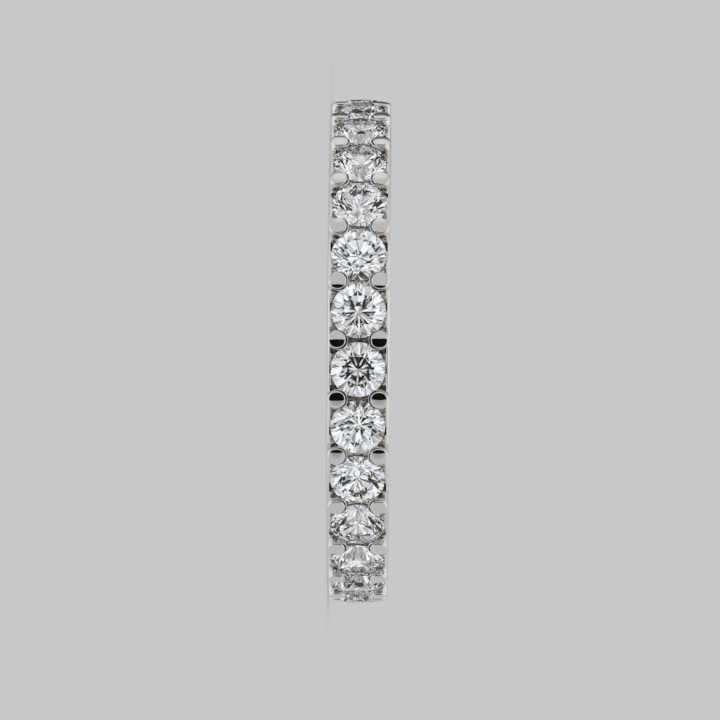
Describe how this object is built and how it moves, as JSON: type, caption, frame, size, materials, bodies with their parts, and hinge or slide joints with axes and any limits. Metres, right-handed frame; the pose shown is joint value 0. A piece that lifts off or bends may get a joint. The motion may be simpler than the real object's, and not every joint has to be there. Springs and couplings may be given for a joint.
{
  "type": "cubic zirconia ring",
  "caption": "Full eternity ring: round brilliant-cut stones of one size all the way round a narrow polished band, each gap between them held by a pair of shared prongs.",
  "frame": {"origin": "on the ring's axis, at the side of the hoop that it lies on", "axes": "+Z along the ring's axis, from the side it lies on to the upper side; -Y is the front"},
  "size_m": [0.0208, 0.0208, 0.0024],
  "materials": {
    "white_metal": "polished rhodium-plated silver",
    "cubic_zirconia": "polished facets, colourless"
  },
  "bodies": {
    "root": {"band": "white_metal", "stone_01": "cubic_zirconia", "stone_02": "cubic_zirconia", "stone_03": "cubic_zirconia", "stone_04": "cubic_zirconia", "stone_05": "cubic_zirconia", "stone_06": "cubic_zirconia", "stone_07": "cubic_zirconia", "stone_08": "cubic_zirconia", "stone_09": "cubic_zirconia", "stone_10": "cubic_zirconia", "stone_11": "cubic_zirconia", "stone_12": "cubic_zirconia", "stone_13": "cubic_zirconia", "stone_14": "cubic_zirconia", "stone_15": "cubic_zirconia", "stone_16": "cubic_zirconia", "stone_17": "cubic_zirconia", "stone_18": "cubic_zirconia", "stone_19": "cubic_zirconia", "stone_20": "cubic_zirconia", "stone_21": "cubic_zirconia", "stone_22": "cubic_zirconia", "stone_23": "cubic_zirconia", "stone_24": "cubic_zirconia", "stone_25": "cubic_zirconia", "stone_26": "cubic_zirconia", "stone_27": "cubic_zirconia"}
  },
  "joints": []
}
